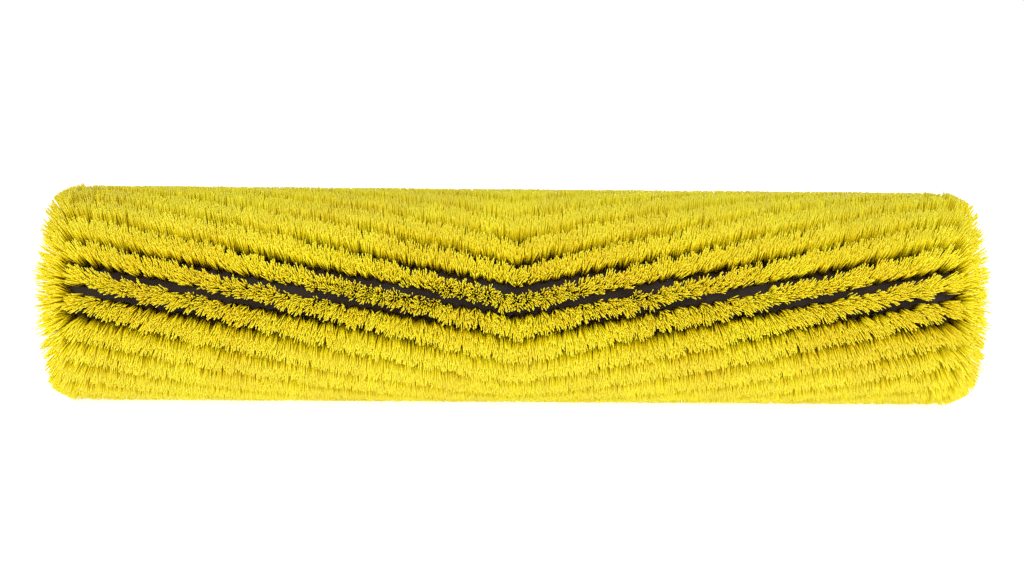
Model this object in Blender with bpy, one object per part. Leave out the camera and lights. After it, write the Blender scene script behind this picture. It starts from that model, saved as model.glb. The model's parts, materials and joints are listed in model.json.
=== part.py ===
"""Cylindrical roller brush: chevron rows of bristles on a core tube, a hexagonal drive socket at
one end and a ball bearing on a stub axle at the other.

The brush's axis is X and its middle is the origin, with +Z up. Sizes are in metres.
The drive end is at +X and the idler end at -X.
"""

import math

import bmesh
import bpy
from mathutils import Matrix, Vector

# Clearances
TOUCH_GAP = 0.0003  # left between pieces that touch on the real brush
CUT_OVERSHOOT = 0.001  # how far a cutter stands out of the face it cuts

# Core tube
CORE_LENGTH = 0.392
CORE_WALL = 0.011
CORE_EDGE = 0.0008  # chamfer on the outer rims
FLANGE_SEAT_DEPTH = 0.004

# Bristle rows
BRISTLE_LENGTH = 0.018  # from the core to the tips
BRISTLE_PROUD = 0.006  # how far the flared tips reach past the core's ends
ROW_COUNT = 24
ROW_SWEEP = math.radians(60.0)  # turn of a row between the middle and either end
TUFT_PITCH = 0.0058
LAST_TUFT_INSET = 0.0046  # from the core's end to the middle of the last tuft
TUFT_FOOT_WIDTH = 0.0046
TUFT_TIP_WIDTH = 0.0096
FLARED_TUFTS = 3  # tufts at each end that lean outwards
ROW_STATIONS = 8  # cross-sections along the straight stretch of each half of a row

# Ball bearing
BEARING_OUTER_DIAMETER = 0.028
BEARING_BORE = 0.012
BALL_DIAMETER = 0.00476
BALL_COUNT = 8
LAND_OFFSET = 0.0018  # from the ball centres' circle to the land of either ring
RING_EDGE = 0.0004
GROOVE_STEPS = 4
SEAL_THICKNESS = 0.0005
SEAL_INSET = 0.0001  # below the ring's face
SEAL_SEAT_WIDTH = 0.0008  # width of the step in the outer ring that holds a seal
CAGE_OPEN_SIDE = 0.0016  # from the ball centres to the cage's open side
CAGE_WALL = 0.00042  # behind the balls

# End plugs
PLUG_EDGE = 0.0006
PLUG_WALL = 0.0028  # round the idler plug's dish
FLANGE_LAP = 0.007  # how far a flange stands out from its spigot
DRIVE_HEX_WIDTH = 0.022  # across the flats of the drive socket
DRIVE_HEX_DEPTH = 0.028
DRIVE_FLOOR = 0.006  # under the drive socket
DRIVE_MOUTH_EDGE = 0.001
IDLER_DISH_DEPTH = 0.005
IDLER_DISH_STEP = 0.0006  # from the clip groove's bottom out to the dish's wall
SHOULDER_LAP = 0.0008  # how far the shoulder behind the bearing reaches inside the outer ring's land
SHOULDER_LENGTH = 0.0099

# Retaining rings
CLIP_THICKNESS = 0.001
PLUG_CLIP_LIP = 0.0012  # plug wall left outside the clip's groove
PLUG_CLIP_GROOVE_DEPTH = 0.001
PLUG_CLIP_WIDTH = 0.0021
AXLE_CLIP_GROOVE_DEPTH = 0.0009
AXLE_CLIP_WIDTH = 0.0023
CLIP_OPENING = math.radians(26.0)  # left open at the clip's ends
CLIP_LUG_TURN = math.radians(20.0)
CLIP_LUG_HEIGHT = 0.0022
CLIP_LUG_HOLE_DIAMETER = 0.0012
CLIP_TAPER = 0.7  # width at the lugs as a share of the width at the back
CLIP_STATIONS = 20

# Stub axle
AXLE_HEX_WIDTH = 0.011  # across the flats of the outer end
AXLE_PROUD = 0.0056  # length outside the core's end
AXLE_COLLAR_STEP = 0.00165  # from the hexagon's corners out to the collar
AXLE_COLLAR_LENGTH = 0.003
AXLE_TAIL = 0.0025  # length behind the clip's groove
AXLE_EDGE = 0.0006

# Screws
SCREWS_PER_END = 3
SCREW_INSET = 0.003  # from a plug's spigot out to the screws' axes
SCREW_LENGTH = 0.014
SCREW_HEAD_DIAMETER = 0.0055
SCREW_HEAD_HEIGHT = 0.0013
SCREW_DIAMETER = 0.003
SCREW_TIP_LENGTH = 0.0012
SCREW_TIP_DIAMETER = 0.0016
SCREW_SUNK = 0.0002
SCREW_KEY_WIDTH = 0.0025
SCREW_KEY_DEPTH = 0.0009

# Facets round each kind of turned piece, all multiples of 6 so that hexagons have true corners
CORE_FACETS = 60
PLUG_FACETS = 48
RING_FACETS = 36
AXLE_FACETS = 36
SCREW_FACETS = 18
BALL_FACETS = 12
BALL_BANDS = 6
SHARP_ANGLE = math.radians(32.0)

# Bearing sizes that follow from the ones above
BALL_CIRCLE_RADIUS = (BEARING_OUTER_DIAMETER + BEARING_BORE) / 4
INNER_LAND_RADIUS = BALL_CIRCLE_RADIUS - LAND_OFFSET
OUTER_LAND_RADIUS = BALL_CIRCLE_RADIUS + LAND_OFFSET
BALL_GROOVE_RADIUS = BALL_DIAMETER / 2 + TOUCH_GAP
CAGE_CLOSED_SIDE = BALL_GROOVE_RADIUS + CAGE_WALL
SEAL_SEAT_DEPTH = SEAL_INSET + SEAL_THICKNESS + TOUCH_GAP
BEARING_HALF_WIDTH = CAGE_CLOSED_SIDE + SEAL_SEAT_DEPTH
BEARING_SEAT_RADIUS = BEARING_OUTER_DIAMETER / 2 + TOUCH_GAP
AXLE_SEAT_RADIUS = BEARING_BORE / 2 - TOUCH_GAP
AXLE_GROOVE_RADIUS = AXLE_SEAT_RADIUS - AXLE_CLIP_GROOVE_DEPTH

# Depths below the idler end of the core
CLIP_GROOVE_WIDTH = CLIP_THICKNESS + 2 * TOUCH_GAP
PLUG_GROOVE_START = IDLER_DISH_DEPTH + PLUG_CLIP_LIP
PLUG_GROOVE_END = PLUG_GROOVE_START + CLIP_GROOVE_WIDTH
BEARING_DEPTH = PLUG_GROOVE_END + BEARING_HALF_WIDTH
BEARING_END = BEARING_DEPTH + BEARING_HALF_WIDTH
AXLE_GROOVE_END = BEARING_END + CLIP_GROOVE_WIDTH
IDLER_SHOULDER = BEARING_END + TOUCH_GAP
IDLER_SPIGOT_END = IDLER_SHOULDER + SHOULDER_LENGTH
DRIVE_SPIGOT_END = DRIVE_HEX_DEPTH + DRIVE_FLOOR

# Plug, core and row sizes, from the bearing outwards
PLUG_GROOVE_RADIUS = BEARING_SEAT_RADIUS + PLUG_CLIP_GROOVE_DEPTH
DISH_RADIUS = PLUG_GROOVE_RADIUS + IDLER_DISH_STEP
SPIGOT_RADIUS = DISH_RADIUS + PLUG_WALL
FLANGE_RADIUS = SPIGOT_RADIUS + FLANGE_LAP
FLANGE_THICKNESS = FLANGE_SEAT_DEPTH - TOUCH_GAP
SCREW_CIRCLE_RADIUS = SPIGOT_RADIUS + SCREW_INSET
CORE_BORE_RADIUS = SPIGOT_RADIUS + TOUCH_GAP
CORE_RADIUS = CORE_BORE_RADIUS + CORE_WALL
CORE_END = CORE_LENGTH / 2
TIP_RADIUS = CORE_RADIUS + BRISTLE_LENGTH
ROW_END = CORE_END - LAST_TUFT_INSET
FOOT_END = ROW_END + TUFT_FOOT_WIDTH / 2
FLARE_START = ROW_END - FLARED_TUFTS * TUFT_PITCH
FLARE = CORE_END + BRISTLE_PROUD - FOOT_END
DRIVE_SIDE = 1
IDLER_SIDE = -1


def clear_scene():
    """Remove everything that the scene holds."""
    for scene_object in list(bpy.data.objects):
        bpy.data.objects.remove(scene_object, do_unlink=True)


def make_material(name, colour, roughness, metallic=0.0):
    """A plain finish for one kind of piece."""
    material = bpy.data.materials.new(name)
    material.use_nodes = True
    shader = material.node_tree.nodes["Principled BSDF"]
    shader.inputs["Base Color"].default_value = (*colour, 1.0)
    shader.inputs["Roughness"].default_value = roughness
    shader.inputs["Metallic"].default_value = metallic
    material.diffuse_color = (*colour, 1.0)
    return material


def make_frame(name, location):
    """An empty on the brush's axis that carries the pieces of one body."""
    frame = bpy.data.objects.new(name, None)
    frame.empty_display_size = 0.02
    frame.location = location
    bpy.context.scene.collection.objects.link(frame)
    return frame


def make_mesh(name, bm, material):
    """Turn a finished bmesh into a mesh with outward faces and smooth shading."""
    bmesh.ops.recalc_face_normals(bm, faces=bm.faces)
    mesh = bpy.data.meshes.new(name)
    bm.to_mesh(mesh)
    bm.free()
    mesh.shade_smooth()
    mesh.set_sharp_from_angle(angle=SHARP_ANGLE)
    if material is not None:
        mesh.materials.append(material)
    return mesh


def place(name, mesh, parent, location=(0.0, 0.0, 0.0), rotation=(0.0, 0.0, 0.0)):
    """Add an object at a place in its parent's frame."""
    piece = bpy.data.objects.new(name, mesh)
    bpy.context.scene.collection.objects.link(piece)
    piece.parent = parent
    piece.location = location
    piece.rotation_euler = rotation
    return piece


def place_cutter(name, mesh, parent, location=(0.0, 0.0, 0.0)):
    """Add an object that only cuts others."""
    cutter = place(name, mesh, parent, location)
    cutter.hide_render = True
    cutter.display_type = "WIRE"
    return cutter


def cut(piece, cutter):
    """Cut one object out of another."""
    modifier = piece.modifiers.new(cutter.name, "BOOLEAN")
    modifier.operation = "DIFFERENCE"
    modifier.solver = "EXACT"
    modifier.object = cutter


def round_section(x, radius, facets):
    """Points round a circle in a plane across the axis."""
    turns = [2 * math.pi * k / facets for k in range(facets)]
    return [Vector((x, radius * math.cos(a), radius * math.sin(a))) for a in turns]


def hex_section(x, across_flats, facets):
    """Points round a hexagon with flats at +Z and -Z, as many as a circle of that many facets has."""
    points = []
    for k in range(facets):
        angle = 2 * math.pi * k / facets
        off_flat = (angle % (math.pi / 3)) - math.pi / 6
        radius = across_flats / 2 / math.cos(off_flat)
        points.append(Vector((x, radius * math.cos(angle), radius * math.sin(angle))))
    return points


def loft(bm, sections):
    """Extrude a face through a list of sections that all have the same number of points."""
    face = bm.faces.new([bm.verts.new(point) for point in sections[0]])
    for index, section in enumerate(sections[1:]):
        grown = bmesh.ops.extrude_face_region(bm, geom=[face])["geom"]
        next_face = next(item for item in grown if isinstance(item, bmesh.types.BMFace))
        for vert, point in zip(next_face.verts, section):
            vert.co = point
        if index > 0:
            bmesh.ops.delete(bm, geom=[face], context="FACES_ONLY")
        face = next_face


def lofted_mesh(name, sections, material):
    """A closed mesh through a list of sections."""
    bm = bmesh.new()
    loft(bm, sections)
    return make_mesh(name, bm, material)


def turned_mesh(name, profile, facets, material):
    """A ring turned about the X axis from a closed outline of (x, radius) points."""
    bm = bmesh.new()
    verts = [bm.verts.new((x, radius, 0.0)) for x, radius in profile]
    edges = [bm.edges.new((verts[k - 1], verts[k])) for k in range(len(verts))]
    bmesh.ops.spin(
        bm,
        geom=verts + edges,
        cent=(0.0, 0.0, 0.0),
        axis=(1.0, 0.0, 0.0),
        angle=2 * math.pi,
        steps=facets,
        use_merge=True,
    )
    return make_mesh(name, bm, material)


def end_x(side, depth):
    """X of a place at a depth below the core's end face."""
    return side * (CORE_END - depth)


def row_stations():
    """Places along the brush where a row's cross-section is set, from one end to the other."""
    half = [FLARE_START * k / ROW_STATIONS for k in range(ROW_STATIONS + 1)]
    flared = [FLARE_START + (FOOT_END - FLARE_START) * k / FLARED_TUFTS for k in range(1, FLARED_TUFTS + 1)]
    half += flared
    return [-x for x in reversed(half[1:])] + half


def row_foot_radius():
    """Radius that keeps the flat facets under a row clear of the core."""
    step_turn = ROW_SWEEP * FLARE_START / ROW_STATIONS / ROW_END
    foot_turn = TUFT_FOOT_WIDTH / CORE_RADIUS
    return (CORE_RADIUS + TOUCH_GAP) / math.cos((step_turn + foot_turn) / 2)


def row_point(x, radius, turn):
    """A point on a row, where no turn faces -Y and a positive turn leads up."""
    return Vector((x, -radius * math.cos(turn), radius * math.sin(turn)))


def row_section(x):
    """Cross-section of a row of tufts at one place, narrow at the core and wide at the tips."""
    turn = ROW_SWEEP * abs(x) / ROW_END
    foot_radius = row_foot_radius()
    length = TIP_RADIUS - foot_radius
    share = max(0.0, (abs(x) - FLARE_START) / (FOOT_END - FLARE_START))
    lean = FLARE * share * share
    leaned_radius = foot_radius + math.sqrt(length * length - lean * lean)
    tip_x = x + math.copysign(lean, x)
    foot_half = TUFT_FOOT_WIDTH / 2 / foot_radius
    tip_half = TUFT_TIP_WIDTH / 2 / TIP_RADIUS
    return [
        row_point(x, foot_radius, turn - foot_half),
        row_point(tip_x, leaned_radius, turn - tip_half),
        row_point(tip_x, leaned_radius, turn),
        row_point(tip_x, leaned_radius, turn + tip_half),
        row_point(x, foot_radius, turn + foot_half),
    ]


def build_tuft_rows(parent, material):
    """The rows of tufts, which are copies of one V-shaped row turned round the core."""
    sections = [row_section(x) for x in row_stations()]
    mesh = lofted_mesh("tuft_row", sections, material)
    for k in range(ROW_COUNT):
        turn = 2 * math.pi * k / ROW_COUNT
        place(f"tuft_row_{k + 1:02d}", mesh, parent, rotation=(turn, 0.0, 0.0))


def core_profile():
    """Outline of the core tube's wall, with a seat for a flange at each end."""
    seat_radius = FLANGE_RADIUS + TOUCH_GAP
    half = [
        (CORE_END - FLANGE_SEAT_DEPTH, CORE_BORE_RADIUS),
        (CORE_END - FLANGE_SEAT_DEPTH, seat_radius),
        (CORE_END, seat_radius),
        (CORE_END, CORE_RADIUS - CORE_EDGE),
        (CORE_END - CORE_EDGE, CORE_RADIUS),
    ]
    return half + [(-x, radius) for x, radius in reversed(half)]


def screw_sections(grow, proud):
    """Sections of a countersunk screw from its tip to its head's rim, grown on all sides for its hole."""
    head = SCREW_HEAD_DIAMETER / 2 + grow
    shank = SCREW_DIAMETER / 2 + grow
    tip = SCREW_TIP_DIAMETER / 2 + grow
    places = [
        (-SCREW_LENGTH - grow, tip),
        (-SCREW_LENGTH + SCREW_TIP_LENGTH - grow, shank),
        (-SCREW_HEAD_HEIGHT - grow, shank),
        (0.0, head),
    ]
    if proud > 0:
        places.append((proud, head))
    return [round_section(x, radius, SCREW_FACETS) for x, radius in places]


def screw_places(side):
    """Place of each screw's head in one end, spread evenly round the axis."""
    places = []
    for k in range(SCREWS_PER_END):
        turn = math.pi / 2 + 2 * math.pi * k / SCREWS_PER_END
        across = Vector((0.0, math.cos(turn), math.sin(turn))) * SCREW_CIRCLE_RADIUS
        places.append(Vector((end_x(side, SCREW_SUNK), 0.0, 0.0)) + across)
    return places


def facing(side):
    """Turn that points a piece made along +X out of one end."""
    return Matrix.Rotation(0.0 if side == DRIVE_SIDE else math.pi, 4, "Z")


def screw_hole_mesh(name, side):
    """Cutter for all the screw holes of one end."""
    bm = bmesh.new()
    for screw_place in screw_places(side):
        first = len(bm.verts)
        loft(bm, screw_sections(TOUCH_GAP, SCREW_SUNK + CUT_OVERSHOOT))
        bm.verts.ensure_lookup_table()
        bmesh.ops.transform(
            bm, matrix=Matrix.Translation(screw_place) @ facing(side), verts=bm.verts[first:]
        )
    return make_mesh(name, bm, None)


def build_core(parent, material, hole_cutters):
    """The core tube, drilled for the plug screws at both ends."""
    mesh = turned_mesh("core_tube", core_profile(), CORE_FACETS, material)
    core = place("core_tube", mesh, parent)
    for cutter in hole_cutters:
        cut(core, cutter)


def build_drive_plug(parent, material, hole_cutter):
    """The plug with the hexagonal socket that turns the brush."""
    mouth_width = DRIVE_HEX_WIDTH + 2 * DRIVE_MOUTH_EDGE
    sections = [
        round_section(end_x(DRIVE_SIDE, DRIVE_SPIGOT_END), SPIGOT_RADIUS - PLUG_EDGE, PLUG_FACETS),
        round_section(end_x(DRIVE_SIDE, DRIVE_SPIGOT_END - PLUG_EDGE), SPIGOT_RADIUS, PLUG_FACETS),
        round_section(end_x(DRIVE_SIDE, FLANGE_THICKNESS), SPIGOT_RADIUS, PLUG_FACETS),
        round_section(end_x(DRIVE_SIDE, FLANGE_THICKNESS), FLANGE_RADIUS, PLUG_FACETS),
        round_section(end_x(DRIVE_SIDE, PLUG_EDGE), FLANGE_RADIUS, PLUG_FACETS),
        round_section(end_x(DRIVE_SIDE, 0.0), FLANGE_RADIUS - PLUG_EDGE, PLUG_FACETS),
        hex_section(end_x(DRIVE_SIDE, 0.0), mouth_width, PLUG_FACETS),
        hex_section(end_x(DRIVE_SIDE, DRIVE_MOUTH_EDGE), DRIVE_HEX_WIDTH, PLUG_FACETS),
        hex_section(end_x(DRIVE_SIDE, DRIVE_HEX_DEPTH), DRIVE_HEX_WIDTH, PLUG_FACETS),
    ]
    plug = place("drive_plug", lofted_mesh("drive_plug", sections, material), parent)
    cut(plug, hole_cutter)


def idler_profile():
    """Outline of the idler plug's wall, from its dish round to the bearing seat."""
    shoulder_radius = OUTER_LAND_RADIUS - SHOULDER_LAP
    by_depth = [
        (0.0, DISH_RADIUS + PLUG_EDGE),
        (0.0, FLANGE_RADIUS - PLUG_EDGE),
        (PLUG_EDGE, FLANGE_RADIUS),
        (FLANGE_THICKNESS, FLANGE_RADIUS),
        (FLANGE_THICKNESS, SPIGOT_RADIUS),
        (IDLER_SPIGOT_END - PLUG_EDGE, SPIGOT_RADIUS),
        (IDLER_SPIGOT_END, SPIGOT_RADIUS - PLUG_EDGE),
        (IDLER_SPIGOT_END, shoulder_radius),
        (IDLER_SHOULDER, shoulder_radius),
        (IDLER_SHOULDER, BEARING_SEAT_RADIUS),
        (PLUG_GROOVE_END, BEARING_SEAT_RADIUS),
        (PLUG_GROOVE_END, PLUG_GROOVE_RADIUS),
        (PLUG_GROOVE_START, PLUG_GROOVE_RADIUS),
        (PLUG_GROOVE_START, BEARING_SEAT_RADIUS),
        (IDLER_DISH_DEPTH, BEARING_SEAT_RADIUS),
        (IDLER_DISH_DEPTH, DISH_RADIUS),
        (PLUG_EDGE, DISH_RADIUS),
    ]
    return [(end_x(IDLER_SIDE, depth), radius) for depth, radius in by_depth]


def build_idler_plug(parent, material, hole_cutter):
    """The plug that holds the bearing."""
    mesh = turned_mesh("idler_plug", idler_profile(), PLUG_FACETS, material)
    plug = place("idler_plug", mesh, parent)
    cut(plug, hole_cutter)


def screw_mesh(material):
    """A countersunk screw with a hexagonal key recess, its head facing +X."""
    sections = screw_sections(0.0, 0.0)
    sections.append(hex_section(0.0, SCREW_KEY_WIDTH, SCREW_FACETS))
    sections.append(hex_section(-SCREW_KEY_DEPTH, SCREW_KEY_WIDTH, SCREW_FACETS))
    return lofted_mesh("plug_screw", sections, material)


def build_screws(parent, material):
    """The screws that hold each plug to the core."""
    mesh = screw_mesh(material)
    for end_name, side in (("drive", DRIVE_SIDE), ("idler", IDLER_SIDE)):
        rotation = facing(side).to_euler()
        for k, screw_place in enumerate(screw_places(side)):
            place(f"{end_name}_plug_screw_{k + 1}", mesh, parent, screw_place, rotation)


def ball_groove(land_radius, outward):
    """Points of a ball groove's arc between the two edges of its land, from -X to +X."""
    edge_angle = math.acos(abs(BALL_CIRCLE_RADIUS - land_radius) / BALL_GROOVE_RADIUS)
    points = []
    for k in range(GROOVE_STEPS + 1):
        angle = edge_angle * (2 * k / GROOVE_STEPS - 1)
        radius = BALL_CIRCLE_RADIUS + outward * BALL_GROOVE_RADIUS * math.cos(angle)
        points.append((BALL_GROOVE_RADIUS * math.sin(angle), radius))
    return points


def build_inner_ring(parent, material):
    """The bearing ring on the axle."""
    half = BEARING_HALF_WIDTH
    bore = BEARING_BORE / 2
    land = INNER_LAND_RADIUS
    groove = ball_groove(land, -1)
    profile = [(-half + RING_EDGE, bore), (-half, bore + RING_EDGE), (-half, land)]
    profile += groove
    profile += [(half, land), (half, bore + RING_EDGE), (half - RING_EDGE, bore)]
    mesh = turned_mesh("bearing_inner_ring", profile, RING_FACETS, material)
    place("bearing_inner_ring", mesh, parent)


def build_outer_ring(parent, material, location):
    """The bearing ring in the plug, with a step for a seal on each side."""
    half = BEARING_HALF_WIDTH
    outer = BEARING_OUTER_DIAMETER / 2
    land = OUTER_LAND_RADIUS
    seat = land + SEAL_SEAT_WIDTH
    step = half - SEAL_SEAT_DEPTH
    groove = ball_groove(land, 1)
    profile = [(-half, seat), (-step, seat), (-step, land)]
    profile += groove
    profile += [(step, land), (step, seat), (half, seat)]
    profile += [(half, outer - RING_EDGE), (half - RING_EDGE, outer)]
    profile += [(-half + RING_EDGE, outer), (-half, outer - RING_EDGE)]
    mesh = turned_mesh("bearing_outer_ring", profile, RING_FACETS, material)
    place("bearing_outer_ring", mesh, parent, location)


def build_seals(parent, material, location):
    """A seal on each side of the balls, held by the outer ring."""
    near = INNER_LAND_RADIUS + TOUCH_GAP
    far = OUTER_LAND_RADIUS + SEAL_SEAT_WIDTH - TOUCH_GAP
    outer_face = BEARING_HALF_WIDTH - SEAL_INSET
    inner_face = outer_face - SEAL_THICKNESS
    profile = [(inner_face, near), (inner_face, far), (outer_face, far), (outer_face, near)]
    mesh = turned_mesh("bearing_seal", profile, RING_FACETS, material)
    place("bearing_seal_inner", mesh, parent, location)
    place("bearing_seal_outer", mesh, parent, location, facing(IDLER_SIDE).to_euler())


def ball_pocket_mesh():
    """Cutter for all the ball pockets of the cage."""
    bm = bmesh.new()
    for k in range(BALL_COUNT):
        turn = Matrix.Rotation(2 * math.pi * k / BALL_COUNT, 4, "X")
        bmesh.ops.create_cone(
            bm,
            cap_ends=True,
            segments=BALL_FACETS * 2,
            radius1=BALL_GROOVE_RADIUS,
            radius2=BALL_GROOVE_RADIUS,
            depth=4 * LAND_OFFSET,
            matrix=turn @ Matrix.Translation((0.0, 0.0, BALL_CIRCLE_RADIUS)),
        )
    return make_mesh("ball_pockets", bm, None)


def build_cage(parent, material):
    """The cage that spaces the balls, open on the side that the balls snap in from."""
    near = INNER_LAND_RADIUS + 2 * TOUCH_GAP
    far = OUTER_LAND_RADIUS - 2 * TOUCH_GAP
    profile = [
        (-CAGE_CLOSED_SIDE, near),
        (-CAGE_CLOSED_SIDE, far),
        (CAGE_OPEN_SIDE, far),
        (CAGE_OPEN_SIDE, near),
    ]
    mesh = turned_mesh("bearing_cage", profile, RING_FACETS, material)
    cage = place("bearing_cage", mesh, parent)
    cut(cage, place_cutter("ball_pocket_cutter", ball_pocket_mesh(), parent))


def build_balls(parent, material):
    """The balls, evenly spaced between the two rings."""
    bm = bmesh.new()
    bmesh.ops.create_uvsphere(
        bm, u_segments=BALL_FACETS, v_segments=BALL_BANDS, radius=BALL_DIAMETER / 2
    )
    mesh = make_mesh("bearing_ball", bm, material)
    for k in range(BALL_COUNT):
        turn = Matrix.Rotation(2 * math.pi * k / BALL_COUNT, 4, "X")
        location = turn @ Vector((0.0, 0.0, BALL_CIRCLE_RADIUS))
        rotation = turn.to_euler()
        place(f"bearing_ball_{k + 1}", mesh, parent, location, rotation)


def clip_section(turn, foot, tip):
    """Cross-section of a retaining ring at one place round it."""
    half = CLIP_THICKNESS / 2
    along = Vector((0.0, math.sin(turn), -math.cos(turn)))
    corners = [(-half, foot), (half, foot), (half, tip), (-half, tip)]
    return [Vector((x, 0.0, 0.0)) + along * radius for x, radius in corners]


def clip_mesh(name, seated_radius, free_width, inward, material):
    """A retaining ring that is open at the bottom, tapered towards a lug at each end.

    seated_radius is its edge in the groove. inward is 1 for a ring in a bore, which stands
    inwards from the groove, and -1 for a ring on a shaft.
    """
    ring_start = CLIP_OPENING / 2 + CLIP_LUG_TURN
    ring_turn = 2 * math.pi - 2 * ring_start
    lug_edge = seated_radius - inward * (free_width * CLIP_TAPER + CLIP_LUG_HEIGHT)
    shoulder = math.radians(1.0)
    sections = [
        clip_section(CLIP_OPENING / 2, seated_radius, lug_edge),
        clip_section(ring_start - shoulder, seated_radius, lug_edge),
    ]
    for k in range(CLIP_STATIONS + 1):
        share = k / CLIP_STATIONS
        width = free_width * (CLIP_TAPER + (1 - CLIP_TAPER) * math.sin(math.pi * share))
        turn = ring_start + ring_turn * share
        sections.append(clip_section(turn, seated_radius, seated_radius - inward * width))
    sections += [
        clip_section(2 * math.pi - ring_start + shoulder, seated_radius, lug_edge),
        clip_section(2 * math.pi - CLIP_OPENING / 2, seated_radius, lug_edge),
    ]
    return lofted_mesh(name, sections, material)


def lug_hole_mesh(name, seated_radius, free_width, inward):
    """Cutter for the plier holes in a retaining ring's two lugs."""
    lug_middle = free_width * CLIP_TAPER + CLIP_LUG_HEIGHT / 2
    radius = seated_radius - inward * lug_middle
    turn = (CLIP_OPENING + CLIP_LUG_TURN) / 2
    bm = bmesh.new()
    for side in (-1, 1):
        middle = Vector((0.0, side * math.sin(turn), -math.cos(turn))) * radius
        bmesh.ops.create_cone(
            bm,
            cap_ends=True,
            segments=BALL_FACETS,
            radius1=CLIP_LUG_HOLE_DIAMETER / 2,
            radius2=CLIP_LUG_HOLE_DIAMETER / 2,
            depth=CLIP_THICKNESS + 2 * CUT_OVERSHOOT,
            matrix=Matrix.Translation(middle) @ Matrix.Rotation(math.pi / 2, 4, "Y"),
        )
    return make_mesh(name, bm, None)


def build_clip(name, parent, material, location, seated_radius, free_width, inward):
    """A retaining ring with plier holes in its lugs."""
    mesh = clip_mesh(name, seated_radius, free_width, inward, material)
    clip = place(name, mesh, parent, location)
    holes = lug_hole_mesh(f"{name}_holes", seated_radius, free_width, inward)
    cut(clip, place_cutter(f"{name}_hole_cutter", holes, parent, location))


def build_axle(parent, material):
    """The stub axle: hexagonal outside, a collar, the bearing seat and the clip's groove."""
    collar_end = PLUG_GROOVE_END - TOUCH_GAP
    collar_start = collar_end - AXLE_COLLAR_LENGTH
    tail_end = AXLE_GROOVE_END + AXLE_TAIL
    collar = AXLE_HEX_WIDTH / 2 / math.cos(math.pi / 6) + AXLE_COLLAR_STEP
    by_depth = [
        (collar_start, collar - AXLE_EDGE),
        (collar_start + AXLE_EDGE, collar),
        (collar_end, collar),
        (collar_end, AXLE_SEAT_RADIUS),
        (BEARING_END, AXLE_SEAT_RADIUS),
        (BEARING_END, AXLE_GROOVE_RADIUS),
        (AXLE_GROOVE_END, AXLE_GROOVE_RADIUS),
        (AXLE_GROOVE_END, AXLE_SEAT_RADIUS),
        (tail_end - AXLE_EDGE, AXLE_SEAT_RADIUS),
        (tail_end, AXLE_SEAT_RADIUS - AXLE_EDGE),
    ]
    hexes = [
        (-AXLE_PROUD, AXLE_HEX_WIDTH - 2 * AXLE_EDGE),
        (-AXLE_PROUD + AXLE_EDGE, AXLE_HEX_WIDTH),
        (collar_start, AXLE_HEX_WIDTH),
    ]
    sections = [hex_section(end_x(IDLER_SIDE, d), width, AXLE_FACETS) for d, width in hexes]
    sections += [round_section(end_x(IDLER_SIDE, d), r, AXLE_FACETS) for d, r in by_depth]
    place("idler_axle", lofted_mesh("idler_axle", sections, material), parent)


def build_brush():
    """Build every piece of the brush in the frame of the body that carries it."""
    bristle = make_material("bristle", (0.86, 0.74, 0.03), 0.45)
    core_plastic = make_material("core_plastic", (0.02, 0.02, 0.018), 0.5)
    plug_plastic = make_material("plug_plastic", (0.035, 0.036, 0.038), 0.42)
    bearing_steel = make_material("bearing_steel", (0.72, 0.72, 0.73), 0.18, 1.0)
    cage_plastic = make_material("cage_plastic", (0.45, 0.30, 0.12), 0.5)
    seal_rubber = make_material("seal_rubber", (0.03, 0.03, 0.035), 0.6)
    axle_steel = make_material("axle_steel", (0.56, 0.56, 0.57), 0.32, 1.0)
    spring_steel = make_material("spring_steel", (0.10, 0.10, 0.11), 0.35, 1.0)
    screw_steel = make_material("screw_steel", (0.62, 0.62, 0.60), 0.28, 1.0)

    bearing_place = Vector((end_x(IDLER_SIDE, BEARING_DEPTH), 0.0, 0.0))
    axle_frame = make_frame("axle_frame", (0.0, 0.0, 0.0))
    ball_frame = make_frame("ball_set_frame", bearing_place)
    roller_frame = make_frame("roller_frame", (0.0, 0.0, 0.0))

    hole_cutters = [
        place_cutter(f"{end_name}_hole_cutter", screw_hole_mesh(f"{end_name}_holes", side), roller_frame)
        for end_name, side in (("drive", DRIVE_SIDE), ("idler", IDLER_SIDE))
    ]
    build_core(roller_frame, core_plastic, hole_cutters)
    build_tuft_rows(roller_frame, bristle)
    build_drive_plug(roller_frame, plug_plastic, hole_cutters[0])
    build_idler_plug(roller_frame, plug_plastic, hole_cutters[1])
    build_screws(roller_frame, screw_steel)
    build_outer_ring(roller_frame, bearing_steel, bearing_place)
    build_seals(roller_frame, seal_rubber, bearing_place)
    plug_clip_depth = (PLUG_GROOVE_START + PLUG_GROOVE_END) / 2
    build_clip(
        "bearing_clip",
        roller_frame,
        spring_steel,
        Vector((end_x(IDLER_SIDE, plug_clip_depth), 0.0, 0.0)),
        PLUG_GROOVE_RADIUS - TOUCH_GAP,
        PLUG_CLIP_WIDTH,
        1,
    )

    build_cage(ball_frame, cage_plastic)
    build_balls(ball_frame, bearing_steel)

    inner_ring_frame = make_frame("inner_ring_frame", bearing_place)
    inner_ring_frame.parent = axle_frame
    build_inner_ring(inner_ring_frame, bearing_steel)
    build_axle(axle_frame, axle_steel)
    axle_clip_depth = (BEARING_END + AXLE_GROOVE_END) / 2
    build_clip(
        "axle_clip",
        axle_frame,
        spring_steel,
        Vector((end_x(IDLER_SIDE, axle_clip_depth), 0.0, 0.0)),
        AXLE_GROOVE_RADIUS + TOUCH_GAP,
        AXLE_CLIP_WIDTH,
        -1,
    )
    bpy.context.view_layer.update()


clear_scene()
build_brush()
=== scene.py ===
"""Looks of a cylindrical roller brush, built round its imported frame.

The brush's axis is X and its middle is the origin, with +Z up. Sizes are in metres.
The drive end is at +X and the idler end at -X.
"""

import json
import math
import random

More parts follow.
